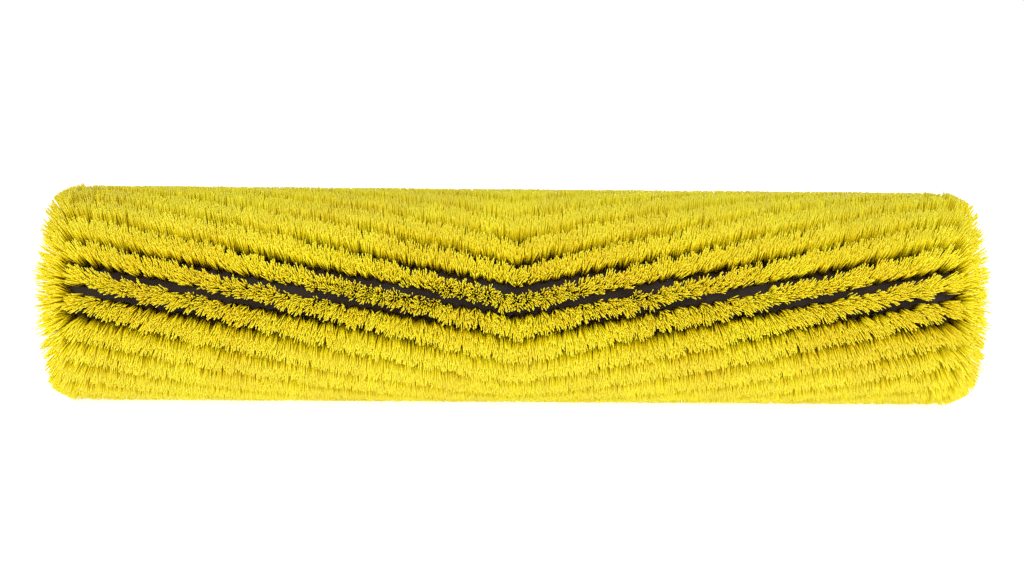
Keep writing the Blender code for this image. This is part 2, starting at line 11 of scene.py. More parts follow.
import bmesh
import bpy
from bpy.props import FloatProperty, FloatVectorProperty, IntProperty, PointerProperty
from mathutils import Matrix, Vector

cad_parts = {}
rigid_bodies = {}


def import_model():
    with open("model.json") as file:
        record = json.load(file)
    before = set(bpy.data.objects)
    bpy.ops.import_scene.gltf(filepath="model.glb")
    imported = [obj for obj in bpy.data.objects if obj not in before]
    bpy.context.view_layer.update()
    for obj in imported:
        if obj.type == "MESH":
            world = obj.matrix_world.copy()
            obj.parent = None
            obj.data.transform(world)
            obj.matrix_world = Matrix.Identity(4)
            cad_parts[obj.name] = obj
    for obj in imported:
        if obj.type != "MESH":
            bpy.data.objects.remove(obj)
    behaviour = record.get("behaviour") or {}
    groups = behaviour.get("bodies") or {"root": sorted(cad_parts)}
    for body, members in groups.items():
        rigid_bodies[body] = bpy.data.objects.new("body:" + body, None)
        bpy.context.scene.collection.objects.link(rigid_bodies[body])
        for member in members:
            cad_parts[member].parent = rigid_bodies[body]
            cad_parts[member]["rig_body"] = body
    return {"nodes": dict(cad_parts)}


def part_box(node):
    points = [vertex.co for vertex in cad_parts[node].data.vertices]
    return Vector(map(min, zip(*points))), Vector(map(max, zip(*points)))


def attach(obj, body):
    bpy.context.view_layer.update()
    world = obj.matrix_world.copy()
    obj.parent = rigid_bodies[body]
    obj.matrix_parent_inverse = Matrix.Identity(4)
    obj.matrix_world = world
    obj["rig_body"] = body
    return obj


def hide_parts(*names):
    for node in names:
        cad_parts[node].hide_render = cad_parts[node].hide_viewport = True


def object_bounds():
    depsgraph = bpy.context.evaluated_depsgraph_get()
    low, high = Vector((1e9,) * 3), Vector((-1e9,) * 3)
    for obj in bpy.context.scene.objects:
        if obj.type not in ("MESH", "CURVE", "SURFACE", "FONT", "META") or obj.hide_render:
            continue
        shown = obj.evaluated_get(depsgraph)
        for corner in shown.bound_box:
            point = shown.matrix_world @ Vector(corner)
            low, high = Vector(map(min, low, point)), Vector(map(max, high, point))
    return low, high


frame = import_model()

bl_info = {
    "name": "Roller Brush",
    "version": (1, 0, 0),
    "blender": (4, 5, 0),
    "location": "3D View > Sidebar > Roller Brush",
    "description": "Bristle rows, end fittings and finishes of a cylindrical roller brush",
    "category": "Object",
}

CAD_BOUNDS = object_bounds()

ROW_NAMES = sorted(name for name in frame["nodes"] if name.startswith("tuft_row_"))
BALL_NAMES = sorted(name for name in frame["nodes"] if name.startswith("bearing_ball_"))
SCREW_NAMES = sorted(name for name in frame["nodes"] if "_screw_" in name)
CORE_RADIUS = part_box("core_tube")[1].z
CORE_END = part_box("core_tube")[1].x
TIP_RADIUS = -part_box(ROW_NAMES[0])[0].y
ROW_STEP = 2 * math.pi / len(ROW_NAMES)

# What is irregular in a tuft: shares of the even value, or metres and radians
TIP_TURN = 0.5
TIP_REACH = (0.80, 1.08)
SHORT_SHARE = 0.04
SHORT_LENGTH = (0.0005, 0.0025)
BEND_SHARE = (0.3, 1.0)
WIDTH_SHARE = (0.85, 1.1)
STRAND_TAPER = 0.15
FLARE_POWER = 1.3

SMOOTH_ANGLE = math.radians(30.0)
SHARP_ANGLE = SMOOTH_ANGLE * 1.5
FLAT_ANGLE = math.radians(0.5)
MERGE_DISTANCE = 1e-6
EDGE_SEGMENTS = 2
BALL_SEGMENTS = 32
FLOOR_SEGMENTS = 96
ROOT_SHADE_HEIGHT = 0.005  # of the bristles above the core, where shade is painted into their colour
CUT_HEIGHT = 0.003  # of the bristles below their tips, where their colour is paler
DUST_COLOUR = (0.36, 0.34, 0.30)
KEY_DIRECTION = (0.05, 1.0, -0.20)
FILL_DIRECTION = (-0.25, -1.0, -0.35)


# Sizes and colours that a user would change


class BristleSettings(bpy.types.PropertyGroup):
    """Sizes and colours of the bristle rows."""

    tuft_pitch: FloatProperty(
        name="Tuft pitch",
        description="Distance between two tufts along the brush",
        default=0.0058,
        unit="LENGTH",
    )
    last_tuft_inset: FloatProperty(
        name="Last tuft inset",
        description="Distance from the core's end to the middle of the last tuft",
        default=0.0046,
        unit="LENGTH",
    )
    row_sweep: FloatProperty(
        name="Row sweep",
        description="Turn of a row between the middle of the brush and its last tuft",
        default=math.radians(60.0),
        unit="ROTATION",
    )
    per_tuft: IntProperty(
        name="Bristles per tuft",
        description="Number of bristles in each tuft",
        default=84,
        min=3,
    )
    thickness: FloatProperty(
        name="Bristle thickness",
        description="Diameter of a bristle at its root",
        default=0.00052,
        unit="LENGTH",
    )
    foot_width: FloatProperty(
        name="Tuft foot width",
        description="Diameter of a tuft where it leaves its hole in the core",
        default=0.0042,
        unit="LENGTH",
    )
    tip_width: FloatProperty(
        name="Tuft tip width",
        description="Diameter that a tuft's tips spread to",
        default=0.0096,
        unit="LENGTH",
    )
    end_tip_width: FloatProperty(
        name="End tuft tip width",
        description="Diameter that the tips of the flared tufts spread to",
        default=0.0130,
        unit="LENGTH",
    )
    end_stretch: FloatProperty(
        name="End tuft stretch",
        description="How much wider than deep the last tuft of a row is, measured round the brush",
        default=1.35,
        min=1.0,
    )
    end_fullness: FloatProperty(
        name="End tuft fullness",
        description="Bristles in the last tuft of a row, as a multiple of another tuft's",
        default=1.5,
        min=1.0,
    )
    bent_share: FloatProperty(
        name="Bent bristles",
        description="Share of the bristles that are bent",
        default=0.25,
        min=0.0,
        max=1.0,
    )
    sunk: FloatProperty(
        name="Sunk length",
        description="Length of the bristles below the core's surface",
        default=0.0008,
        unit="LENGTH",
    )
    bow: FloatProperty(
        name="Bow",
        description="How far a bristle bends out of its straight line, at most",
        default=0.0007,
        unit="LENGTH",
    )
    trim_error: FloatProperty(
        name="Trim error",
        description="How unevenly the tips are cut",
        default=0.0004,
        unit="LENGTH",
    )
    flared_tufts: IntProperty(
        name="Flared tufts",
        description="Number of tufts at each end of a row that lean outwards",
        default=2,
        min=0,
    )
    flare: FloatProperty(
        name="Flare",
        description="Outward lean of the last tuft of a row",
        default=math.radians(23.0),
        unit="ROTATION",
    )
    stray: FloatProperty(
        name="Stray lean",
        description="How far a tuft leans out of its own direction, at most",
        default=math.radians(3.2),
        unit="ROTATION",
    )
    tuft_kinds: IntProperty(
        name="Kinds of tuft",
        description="Number of different tufts of each sort that the rows are filled from",
        default=10,
        min=1,
    )
    seed: IntProperty(
        name="Seed",
        description="Seed of everything irregular in the bristles",
        default=7,
    )
    colour: FloatVectorProperty(
        name="Bristle colour",
        description="Colour of most bristles",
        default=(0.96, 0.755, 0.006),
        subtype="COLOR",
    )
    pale_colour: FloatVectorProperty(
        name="Pale bristle colour",
        description="Colour of the lightest bristles",
        default=(0.97, 0.86, 0.018),
        subtype="COLOR",
    )
    warm_colour: FloatVectorProperty(
        name="Warm bristle colour",
        description="Colour of the patches where the dye is deepest",
        default=(0.84, 0.56, 0.010),
        subtype="COLOR",
    )
    cut_colour: FloatVectorProperty(
        name="Cut tip colour",
        description="Colour of the bristles' cut tips",
        default=(0.92, 0.85, 0.12),
        subtype="COLOR",
    )
    # Painted shade: a dark amber that stands in for the shade between the rows near the core
    painted_root_shade_colour: FloatVectorProperty(
        name="Painted root shade colour",
        description="Painted shade on the bristles near the core",
        default=(0.42, 0.26, 0.003),
        subtype="COLOR",
    )


class FittingSettings(bpy.types.PropertyGroup):
    """Edges and colours of the core and the end fittings."""

    edge_width: FloatProperty(
        name="Edge width",
        description="Width of the rounding on the fittings' sharp edges",
        default=0.00018,
        unit="LENGTH",
    )
    core_colour: FloatVectorProperty(
        name="Core colour",
        description="Colour of the core tube",
        default=(0.024, 0.009, 0.001),
        subtype="COLOR",
    )
    plug_colour: FloatVectorProperty(
        name="Plug colour",
        description="Colour of the two end plugs",
        default=(0.022, 0.023, 0.026),
        subtype="COLOR",
    )
    seal_colour: FloatVectorProperty(
        name="Seal colour",
        description="Colour of the bearing's seals",
        default=(0.018, 0.018, 0.020),
        subtype="COLOR",
    )
    cage_colour: FloatVectorProperty(
        name="Cage colour",
        description="Colour of the bearing's cage",
        default=(0.45, 0.30, 0.12),
        subtype="COLOR",
    )
    bearing_colour: FloatVectorProperty(
        name="Bearing steel colour",
        description="Colour of the rings and the balls",
        default=(0.68, 0.68, 0.69),
        subtype="COLOR",
    )
    axle_colour: FloatVectorProperty(
        name="Axle steel colour",
        description="Colour of the stub axle",
        default=(0.52, 0.52, 0.53),
        subtype="COLOR",
    )
    clip_colour: FloatVectorProperty(
        name="Clip steel colour",
        description="Colour of the two retaining rings",
        default=(0.060, 0.058, 0.062),
        subtype="COLOR",
    )
    screw_colour: FloatVectorProperty(
        name="Screw colour",
        description="Colour of the plated screws",
        default=(0.60, 0.61, 0.60),
        subtype="COLOR",
    )


class StageSettings(bpy.types.PropertyGroup):
    """Floor, lights and camera."""

    floor_radius: FloatProperty(
        name="Floor radius",
        description="Radius of the round floor",
        default=6.0,
        unit="LENGTH",
    )
    floor_colour: FloatVectorProperty(
        name="Floor colour",
        description="Colour of the floor",
        default=(0.86, 0.86, 0.86),
        subtype="COLOR",
    )
    floor_glow: FloatProperty(
        name="Floor glow",
        description="Light that the floor gives off, which keeps it white under the brush",
        default=0.8,
    )
    sky: FloatProperty(
        name="Surrounding light",
        description="Strength of the even light from all round",
        default=0.55,
    )
    key: FloatProperty(
        name="Key light",
        description="Strength of the soft light from above and in front",
        default=1.9,
    )
    fill: FloatProperty(
        name="Fill light",
        description="Strength of the soft light from above and behind",
        default=1.1,
    )
    light_width: FloatProperty(
        name="Light width",
        description="Angle that each of the two lights fills",
        default=math.radians(30.0),
        unit="ROTATION",
    )
    distance: FloatProperty(
        name="Camera distance",
        description="Distance from the camera to the brush's middle",
        default=0.8,
        unit="LENGTH",
    )
    elevation: FloatProperty(
        name="Camera elevation",
        description="How far above level the camera stands",
        default=math.radians(4.3),
        unit="ROTATION",
    )
    azimuth: FloatProperty(
        name="Camera azimuth",
        description="How far round the brush the camera stands, towards the drive end",
        default=math.radians(-1.5),
        unit="ROTATION",
    )
    roll: FloatProperty(
        name="Camera roll",
        description="Turn of the camera about its own line of sight",
        default=math.radians(0.54),
        unit="ROTATION",
    )
    lens: FloatProperty(
        name="Lens",
        description="Focal length of the camera, in millimetres",
        default=62.5,
    )
    aim: FloatVectorProperty(
        name="Aim",
        description="Point that the camera looks at",
        default=(-0.0008, 0.0, 0.0016),
        subtype="XYZ",
        unit="LENGTH",
    )


# Shapes


def new_piece(name, shape, material, body, replaced):
    """A mesh object that rides on a body and stands for the frame's nodes."""
    mesh = bpy.data.meshes.new(name)
    shape.to_mesh(mesh)
    shape.free()
    mesh.materials.append(material)
    piece = bpy.data.objects.new(name, mesh)
    bpy.context.scene.collection.objects.link(piece)
    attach(piece, body)
    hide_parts(*replaced)
    return piece


def strand_mesh(bent):
    """One upright three-sided strand, one unit wide and tall; a bent one has corners halfway up."""
    shape = bmesh.new()
    shape.verts.layers.float.new("tone")
    bmesh.ops.create_cone(
        shape,
        cap_ends=True,
        segments=3,
        radius1=0.5,
        radius2=0.5,
        depth=1.0,
        matrix=Matrix.Translation((0, 0, 0.5)),
    )
    if bent:
        upright = [
            edge for edge in shape.edges if abs(edge.verts[0].co.z - edge.verts[1].co.z) > 0.5
        ]
        bmesh.ops.subdivide_edges(shape, edges=upright, cuts=1)
    for face in shape.faces:
        face.smooth = True
    mesh = bpy.data.meshes.new("strand")
    shape.to_mesh(mesh)
    shape.free()
    return mesh


def add_strand(shape, strand, root, tip, bow, width, tone):
    """Adds a strand that runs from its root to its tip, bent sideways by its bow."""
    tones = shape.verts.layers.float["tone"]
    start = len(shape.verts)
    shape.from_mesh(strand)
    shape.verts.ensure_lookup_table()
    for corner in shape.verts[start:]:
        level = corner.co.z
        middle = root.lerp(tip, level) + bow * (4 * level * (1 - level))
        reach = width * (1 - STRAND_TAPER * level)
        corner.co = middle + Vector((corner.co.x * reach, corner.co.y * reach, 0))
        corner[tones] = tone


def tuft_mesh(sizes, strands, chance, tip_width, count):
    """One tuft that stands on the origin, with a tight foot and tips that spread.

    Bristles are laid out in a sunflower's spiral, which fills a disc evenly.
    """
    straight, bent = strands
    shape = bmesh.new()
    shape.verts.layers.float.new("tone")
    height = TIP_RADIUS - CORE_RADIUS
    golden = math.pi * (3 - math.sqrt(5))
    for index in range(count):
        share = math.sqrt((index + 0.5) / count)
        turn = index * golden
        tip_turn = turn + chance.uniform(-TIP_TURN, TIP_TURN)
        foot = share * sizes.foot_width / 2
        spread = share * tip_width / 2 * chance.uniform(*TIP_REACH)
        lean = math.atan2(spread - foot, height)
        length = (height - abs(chance.gauss(0, sizes.trim_error))) * math.cos(lean) ** 0.5
        if chance.random() < SHORT_SHARE:
            length -= chance.uniform(*SHORT_LENGTH)
        root = Vector((math.cos(turn) * foot, math.sin(turn) * foot, -sizes.sunk))
        tip = Vector((math.cos(tip_turn) * spread, math.sin(tip_turn) * spread, length))
        bend_turn = chance.uniform(0, 2 * math.pi)
        bend = chance.uniform(*BEND_SHARE) * sizes.bow
        bow = Vector((math.cos(bend_turn), math.sin(bend_turn), 0)) * bend
        width = sizes.thickness * chance.uniform(*WIDTH_SHARE)
        strand = bent if chance.random() < sizes.bent_share else straight
        add_strand(shape, strand, root, tip, bow, width, chance.random())
    mesh = bpy.data.meshes.new("tuft")
    shape.to_mesh(mesh)
    shape.free()
    return mesh


def tuft_place(x, turn, spin, lean_out, lean_side, stretch):
    """Matrix that stands a tuft on the core, at x along it and turned from the near side upwards.

    Stretch widens the tuft round the brush.
    """
    place = Matrix.Translation((x, 0, 0))
    place @= Matrix.Rotation(math.pi / 2 - turn, 4, "X")
    place @= Matrix.Translation((0, 0, CORE_RADIUS))
    place @= Matrix.Rotation(lean_out, 4, "Y")
    place @= Matrix.Rotation(lean_side, 4, "X")
    place @= Matrix.Diagonal((1.0, stretch, 1.0, 1.0))
    place @= Matrix.Rotation(spin, 4, "Z")
    return place


def row_shape(sizes, tufts, end_tufts, row, chance):
    """One row of tufts, a V whose point is at the middle of the brush."""
    shape = bmesh.new()
    shape.verts.layers.float.new("tone")
    shape.verts.layers.float.new("tuft_tone")
    tuft_tone = shape.verts.layers.float["tuft_tone"]
    last = CORE_END - sizes.last_tuft_inset
    side_count = round(last / sizes.tuft_pitch)
    for index in range(-side_count, side_count + 1):
        x = index * last / side_count
        turn = sizes.row_sweep * abs(x) / last - row * ROW_STEP
        past = max(0, abs(index) - side_count + sizes.flared_tufts)
        flare = sizes.flare * (past / max(1, sizes.flared_tufts)) ** FLARE_POWER
        lean_out = math.copysign(flare, x) + chance.uniform(-sizes.stray, sizes.stray)
        lean_side = chance.uniform(-sizes.stray, sizes.stray)
        spin = chance.uniform(0, 2 * math.pi)
        at_end = past and past == sizes.flared_tufts
        start = len(shape.verts)
        shape.from_mesh(chance.choice(end_tufts if at_end else tufts))
        shape.verts.ensure_lookup_table()
        added = shape.verts[start:]
        stretch = sizes.end_stretch if at_end else 1.0
        place = tuft_place(x, turn, spin, lean_out, lean_side, stretch)
        bmesh.ops.transform(shape, matrix=place, verts=added)
        tone = chance.random()
        for corner in added:
            corner[tuft_tone] = tone
    return shape


def rounded_shape(name, width):
    """A copy of a node's solid with its triangles merged and its sharp edges rounded."""
    source = frame["nodes"][name].data.copy()
    source.attributes.remove(source.attributes["custom_normal"])
    shape = bmesh.new()
    shape.from_mesh(source)
    bpy.data.meshes.remove(source)
    bmesh.ops.remove_doubles(shape, verts=shape.verts, dist=MERGE_DISTANCE)
    bmesh.ops.dissolve_limit(
        shape,
        angle_limit=FLAT_ANGLE,
        use_dissolve_boundaries=False,
        verts=shape.verts,
        edges=shape.edges,
        delimit=set(),
    )
    sharp = [edge for edge in shape.edges if edge.calc_face_angle(0) > SMOOTH_ANGLE]
    bmesh.ops.bevel(
        shape,
        geom=sharp,
        offset=width,
        offset_type="OFFSET",
        affect="EDGES",
        segments=EDGE_SEGMENTS,
        profile=0.5,
        material=-1,
        clamp_overlap=True,
        loop_slide=True,
    )
    for face in shape.faces:
        face.smooth = True
    for edge in shape.edges:
        edge.smooth = edge.calc_face_angle(0) <= SHARP_ANGLE
    return shape


def rounded_piece(name, material, width):
    """A finished piece in place of a node, with rounded edges and even shading."""
    node = frame["nodes"][name]
    body = node["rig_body"]
    piece = new_piece(name + "_finished", rounded_shape(name, width), material, body, [name])
    even = piece.modifiers.new("Even shading", "WEIGHTED_NORMAL")
    even.keep_sharp = True
    return piece


def ball_shape(name):
    """A smooth ball in place of a node's faceted one."""
    low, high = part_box(name)
    shape = bmesh.new()
    bmesh.ops.create_uvsphere(
        shape,
        u_segments=BALL_SEGMENTS,
        v_segments=BALL_SEGMENTS // 2,
        radius=(high.x - low.x) / 2,
        matrix=Matrix.Translation((low + high) / 2),
    )
    for face in shape.faces:
        face.smooth = True
    return shape


# Finishes


def add_node(tree, kind, x, y, **settings):
    """A shader node at a place in the tree, with its own settings."""
    node = tree.nodes.new(kind)
    node.location = (x, y)
    for name, value in settings.items():
        setattr(node, name, value)
    return node


def add_math(tree, operation, x, y, first, second):
    """A maths node whose two values are numbers or sockets."""
    node = add_node(tree, "ShaderNodeMath", x, y, operation=operation)
    for socket, value in zip(node.inputs, (first, second)):
        if isinstance(value, bpy.types.NodeSocket):
            tree.links.new(value, socket)
        else:
            socket.default_value = value
    return node.outputs[0]


def add_mix(tree, x, y, share, first, second, blend="MIX"):
    """A colour mix whose share and two colours are values or sockets."""
    node = add_node(tree, "ShaderNodeMix", x, y, data_type="RGBA", blend_type=blend)
    sockets = (node.inputs[0], node.inputs[6], node.inputs[7])
    for socket, value in zip(sockets, (share, first, second)):
        if isinstance(value, bpy.types.NodeSocket):
            tree.links.new(value, socket)
        elif isinstance(value, float):
            socket.default_value = value
        else:
            socket.default_value = (*value, 1.0)
    return node.outputs[2]


def add_range(tree, x, y, value, low, high, to_low, to_high):
    """A node that maps a value's range to another, held at its ends."""
    node = add_node(tree, "ShaderNodeMapRange", x, y)
    tree.links.new(value, node.inputs["Value"])
    node.inputs["From Min"].default_value = low
    node.inputs["From Max"].default_value = high
    node.inputs["To Min"].default_value = to_low
    node.inputs["To Max"].default_value = to_high
    return node.outputs["Result"]


def add_noise(tree, x, y, vector, scale, detail, roughness=0.5):
    """A noise texture on a vector or at a socket's scale."""
    node = add_node(tree, "ShaderNodeTexNoise", x, y)
    tree.links.new(vector, node.inputs["Vector"])
    if isinstance(scale, bpy.types.NodeSocket):
        tree.links.new(scale, node.inputs["Scale"])
    else:
        node.inputs["Scale"].default_value = scale
    node.inputs["Detail"].default_value = detail
    node.inputs["Roughness"].default_value = roughness
    return node.outputs["Fac"]


def new_group(name, inputs, outputs):
    """An empty node group with named float inputs and outputs."""
    group = bpy.data.node_groups.new(name, "ShaderNodeTree")
    kind = "NodeSocketFloat"
    for socket, value in inputs:
        made = group.interface.new_socket(name=socket, in_out="INPUT", socket_type=kind)
        made.default_value = value
    for socket in outputs:
        group.interface.new_socket(name=socket, in_out="OUTPUT", socket_type=kind)
    entry = add_node(group, "NodeGroupInput", -900, 0)
    leave = add_node(group, "NodeGroupOutput", 600, 0)
    place = add_node(group, "ShaderNodeTexCoord", -900, -300)
    return group, entry, leave, place.outputs["Object"]


def make_grain():
    """Fine grain of a moulded or cast surface: its height, and a slow change of tone."""
    inputs = [("Scale", 2500.0), ("Contrast", 0.5)]
    group, entry, leave, place = new_group("Grain", inputs, ["Height", "Tone"])
    fine = add_noise(group, -600, 100, place, entry.outputs["Scale"], 3.0, 0.6)
    coarse = add_noise(group, -600, -200, place, 60.0, 4.0, 0.55)
    centred = add_math(group, "SUBTRACT", -300, 100, fine, 0.5)
    height = add_math(group, "MULTIPLY", -100, 100, centred, entry.outputs["Contrast"])
    group.links.new(height, leave.inputs["Height"])
    group.links.new(coarse, leave.inputs["Tone"])
    return group


def make_edge_wear():
    """Where edges and corners are rubbed: 1 on a sharp edge, 0 on a flat face."""
    inputs = [("Radius", 0.0006), ("Amount", 0.5)]
    group, entry, leave, place = new_group("Edge wear", inputs, ["Mask"])
    rounded = add_node(group, "ShaderNodeBevel", -700, 200, samples=6)
    group.links.new(entry.outputs["Radius"], rounded.inputs["Radius"])
    surface = add_node(group, "ShaderNodeNewGeometry", -700, 0)
    likeness = add_node(group, "ShaderNodeVectorMath", -450, 100, operation="DOT_PRODUCT")
    group.links.new(rounded.outputs["Normal"], likeness.inputs[0])
    group.links.new(surface.outputs["Normal"], likeness.inputs[1])
    edge = add_range(group, -250, 100, likeness.outputs["Value"], 0.999, 0.90, 0.0, 1.0)
    patches = add_noise(group, -450, -200, place, 350.0, 4.0, 0.6)
    rubbed = add_range(group, -250, -200, patches, 0.38, 0.62, 0.2, 1.0)
    mask = add_math(group, "MULTIPLY", 0, 0, edge, rubbed)
    scaled = add_math(group, "MULTIPLY", 200, 0, mask, entry.outputs["Amount"])
    group.links.new(scaled, leave.inputs["Mask"])
    return group


def make_dust():
    """Thin dry dust in soft patches with fine specks."""
    inputs = [("Amount", 0.3), ("Patch scale", 40.0)]
    group, entry, leave, place = new_group("Dust", inputs, ["Mask"])
    patches = add_noise(group, -600, 100, place, entry.outputs["Patch scale"], 5.0, 0.6)
    specks = add_noise(group, -600, -200, place, 1800.0, 2.0, 0.5)
    soft = add_range(group, -350, 100, patches, 0.42, 0.70, 0.0, 1.0)
    fine = add_range(group, -350, -200, specks, 0.35, 0.70, 0.25, 1.0)
    both = add_math(group, "MULTIPLY", -100, 0, soft, fine)
    mask = add_math(group, "MULTIPLY", 150, 0, both, entry.outputs["Amount"])
    group.links.new(mask, leave.inputs["Mask"])
    return group


def make_turning_marks():
    """Rings that a cutter leaves round the brush's axis, on faces and on turned sides."""
    inputs = [("Rings per metre", 9000.0)]
    group, entry, leave, place = new_group("Turning marks", inputs, ["Height"])
    parts = add_node(group, "ShaderNodeSeparateXYZ", -700, 0)
    group.links.new(place, parts.inputs["Vector"])
    y_squared = add_math(group, "MULTIPLY", -520, 100, parts.outputs["Y"], parts.outputs["Y"])
    z_squared = add_math(group, "MULTIPLY", -520, -50, parts.outputs["Z"], parts.outputs["Z"])
    squares = add_math(group, "ADD", -360, 50, y_squared, z_squared)
    radius = add_math(group, "SQRT", -220, 50, squares, 0.0)
    travel = add_math(group, "ADD", -80, 50, radius, parts.outputs["X"])
    rings = add_node(group, "ShaderNodeTexNoise", 150, 50, noise_dimensions="1D")
    group.links.new(travel, rings.inputs["W"])
    group.links.new(entry.outputs["Rings per metre"], rings.inputs["Scale"])
    rings.inputs["Detail"].default_value = 2.0
    group.links.new(rings.outputs["Fac"], leave.inputs["Height"])
    return group


def shared_group(name):
    """A shared node group, built the first time that a finish asks for it."""
    makers = {
        "Grain": make_grain,
        "Edge wear": make_edge_wear,
        "Dust": make_dust,
        "Turning marks": make_turning_marks,
    }
    return bpy.data.node_groups.get(name) or makers[name]()


def use_group(tree, name, x, y, **values):
    """A shared effect placed in a material with its own values."""
    node = add_node(tree, "ShaderNodeGroup", x, y, node_tree=shared_group(name))
    for socket, value in values.items():
        node.inputs[socket.replace("_", " ")].default_value = value
    return node


def new_finish(name, metallic, ior):
    """A material with its Principled shader, ready for its nodes."""
    material = bpy.data.materials.new(name)
    material.use_nodes = True
    tree = material.node_tree
    shader = tree.nodes["Principled BSDF"]
    shader.location = (700, 0)
    shader.inputs["Metallic"].default_value = metallic
    shader.inputs["IOR"].default_value = ior
    return material, tree, shader


def add_bump(tree, shader, height, distance, strength):
    """Raises the surface by a height."""
    bump = add_node(tree, "ShaderNodeBump", 480, -350)
    bump.inputs["Distance"].default_value = distance
    bump.inputs["Strength"].default_value = strength
    tree.links.new(height, bump.inputs["Height"])
    tree.links.new(bump.outputs["Normal"], shader.inputs["Normal"])


def bristle_finish(colours):
    """Dyed nylon: each bristle has its own tone, paler at its tip, with shade painted into its
    colour near the core.
    """
    material, tree, shader = new_finish("Bristle nylon", 0.0, 1.53)
    kind = "ShaderNodeAttribute"
    tone = add_node(tree, kind, -900, 300, attribute_name="tone").outputs["Fac"]
    tuft_tone = add_node(tree, kind, -900, 100, attribute_name="tuft_tone").outputs["Fac"]
    place = add_node(tree, "ShaderNodeTexCoord", -1100, -300).outputs["Object"]
    length = add_node(tree, "ShaderNodeVectorMath", -700, -100, operation="LENGTH")
    across = add_node(tree, "ShaderNodeVectorMath", -900, -100, operation="MULTIPLY")
    across.inputs[1].default_value = (0.0, 1.0, 1.0)
    tree.links.new(place, across.inputs[0])
    tree.links.new(across.outputs["Vector"], length.inputs[0])
    radius = length.outputs["Value"]
    batch = add_noise(tree, -650, -300, place, 30.0, 3.0)
    paler = add_math(tree, "MULTIPLY", -650, 300, tone, 0.7)
    tuft_share = add_math(tree, "MULTIPLY", -650, 100, tuft_tone, 0.3)
    mixed = add_math(tree, "ADD", -450, 200, paler, tuft_share)
    body = add_mix(tree, -200, 250, mixed, colours.colour, colours.pale_colour)
    warmth = add_range(tree, -400, -300, batch, 0.40, 0.64, 0.0, 0.35)
    warm = add_mix(tree, 0, 150, warmth, body, colours.warm_colour)
    # Painted shade: the colour darkens towards the bristles' roots near the core, where the rows
    # shade each other
    depth = add_range(tree, -400, -100, radius, CORE_RADIUS, CORE_RADIUS + ROOT_SHADE_HEIGHT, 0.9, 0.0)
    root_shaded = add_mix(tree, 200, 100, depth, warm, colours.painted_root_shade_colour)
    cut = add_range(tree, -400, -500, radius, TIP_RADIUS - CUT_HEIGHT, TIP_RADIUS, 0.0, 0.3)
    tipped = add_mix(tree, 400, 100, cut, root_shaded, colours.cut_colour)
    tree.links.new(tipped, shader.inputs["Base Color"])
    gloss = add_range(tree, 200, -150, tone, 0.0, 1.0, 0.34, 0.50)
    tree.links.new(gloss, shader.inputs["Roughness"])
    shader.inputs["Specular IOR Level"].default_value = 0.2
    shader.inputs["Subsurface Weight"].default_value = 0.3
    shader.inputs["Subsurface Radius"].default_value = (1.0, 0.7, 0.1)
    shader.inputs["Subsurface Scale"].default_value = 0.001
    return material


def moulded_finish(name, colour, worn, grain_scale, depth, dust, roughness):
    """Moulded plastic or rubber: fine grain, rubbed edges and a little dust."""
    material, tree, shader = new_finish(name, 0.0, 1.5)
    grain = use_group(tree, "Grain", -700, 0, Scale=grain_scale, Contrast=1.0)
    wear = use_group(tree, "Edge wear", -700, 250, Radius=0.0005, Amount=0.8)
    dusty = use_group(tree, "Dust", -700, -250, Amount=dust, Patch_scale=45.0)
    dark = tuple(part * 0.7 for part in colour)
    light = tuple(part * 1.25 for part in colour)
    tone = grain.outputs["Tone"]
    body = add_mix(tree, -400, 100, tone, dark, light)
    rubbed = add_mix(tree, -150, 100, wear.outputs["Mask"], body, worn)
    dusted = add_mix(tree, 100, 100, dusty.outputs["Mask"], rubbed, DUST_COLOUR)
    tree.links.new(dusted, shader.inputs["Base Color"])
    gloss = add_range(tree, -150, -200, tone, 0.3, 0.7, roughness - 0.08, roughness + 0.08)
    duller = add_math(tree, "MULTIPLY", 50, -300, dusty.outputs["Mask"], 0.4)
    total = add_math(tree, "ADD", 250, -200, gloss, duller)
    tree.links.new(total, shader.inputs["Roughness"])
    add_bump(tree, shader, grain.outputs["Height"], depth, 0.6)
    return material


def steel_finish(name, colour, stained, rings, roughness):
    """Turned or ground steel: cutter rings, stains and brighter rubbed edges."""
    material, tree, shader = new_finish(name, 1.0, 2.5)
    marks = use_group(tree, "Turning marks", -700, 0, Rings_per_metre=rings)
    wear = use_group(tree, "Edge wear", -700, 250, Radius=0.0004, Amount=0.7)
    dusty = use_group(tree, "Dust", -700, -250, Amount=0.8, Patch_scale=90.0)
    body = add_mix(tree, -400, 100, dusty.outputs["Mask"], colour, stained)
    bright = tuple(min(1.0, part * 1.3) for part in colour)
    rubbed = add_mix(tree, -150, 100, wear.outputs["Mask"], body, bright)
    height = marks.outputs["Height"]
    shade = add_range(tree, -400, -50, height, 0.3, 0.7, 0.86, 1.0)
    ringed = add_mix(tree, 100, 100, 1.0, rubbed, shade, "MULTIPLY")
    tree.links.new(ringed, shader.inputs["Base Color"])
    gloss = add_range(tree, -150, -200, height, 0.3, 0.7, roughness - 0.07, roughness + 0.07)
    duller = add_math(tree, "MULTIPLY", 50, -300, dusty.outputs["Mask"], 0.3)
    total = add_math(tree, "ADD", 250, -200, gloss, duller)
    tree.links.new(total, shader.inputs["Roughness"])
    add_bump(tree, shader, height, 0.00002, 0.5)
    return material


# Stage


def floor_shape(radius, level):
    """A round floor at a level."""
    shape = bmesh.new()
    bmesh.ops.create_circle(
        shape,
        cap_ends=True,
        segments=FLOOR_SEGMENTS,
        radius=radius,
        matrix=Matrix.Translation((0, 0, level)),
    )
    return shape


